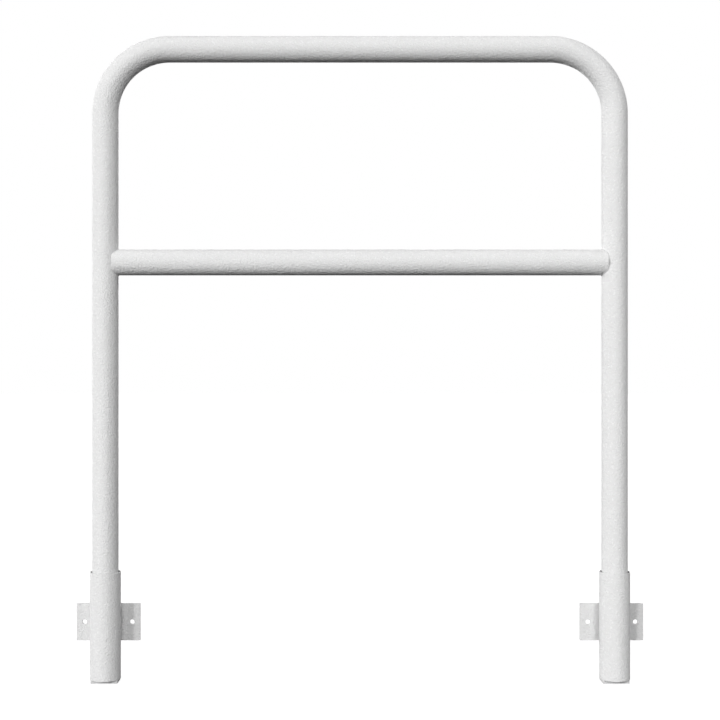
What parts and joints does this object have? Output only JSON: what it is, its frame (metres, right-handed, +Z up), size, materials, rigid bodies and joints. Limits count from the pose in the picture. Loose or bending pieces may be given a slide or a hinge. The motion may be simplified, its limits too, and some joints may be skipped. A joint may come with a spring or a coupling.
{
  "type": "lift-out hoop barrier",
  "caption": "Tubular steel hoop barrier with a cross bar, standing in short sleeves that have drilled fixing plates on their backs, and lifting straight out of them.",
  "frame": {"origin": "centre of the back face of the left fixing plate, at the height of its two holes", "axes": "+Z up along the legs, +X from the left leg to the right leg, +Y out of the fixing plates' backs, so the front faces -Y"},
  "size_m": [1.0717, 0.062, 1.206],
  "materials": {
    "galvanised_hoop": "hot-dip galvanised, pale and matt",
    "galvanised_sleeve": "hot-dip galvanised, pale and matt",
    "galvanised_flat": "hot-dip galvanised, pale and matt",
    "galvanised_weld": "zinc over a rippled weld bead"
  },
  "bodies": {
    "sockets": {"left_sleeve": "galvanised_sleeve", "right_sleeve": "galvanised_sleeve", "left_fixing_plate": "galvanised_flat", "right_fixing_plate": "galvanised_flat", "left_plate_weld": "galvanised_weld", "right_plate_weld": "galvanised_weld", "left_stop_strip": "galvanised_flat", "right_stop_strip": "galvanised_flat", "left_stop_weld": "galvanised_weld", "right_stop_weld": "galvanised_weld"},
    "hoop": {"hoop_tube": "galvanised_hoop", "cross_bar": "galvanised_hoop", "cross_bar_weld_left": "galvanised_weld", "cross_bar_weld_right": "galvanised_weld"}
  },
  "joints": [
    {"name": "lift_out", "type": "slide", "parent": "sockets", "child": "hoop", "axis": [0, 0, 1], "range_m": [0, 0.2]}
  ]
}
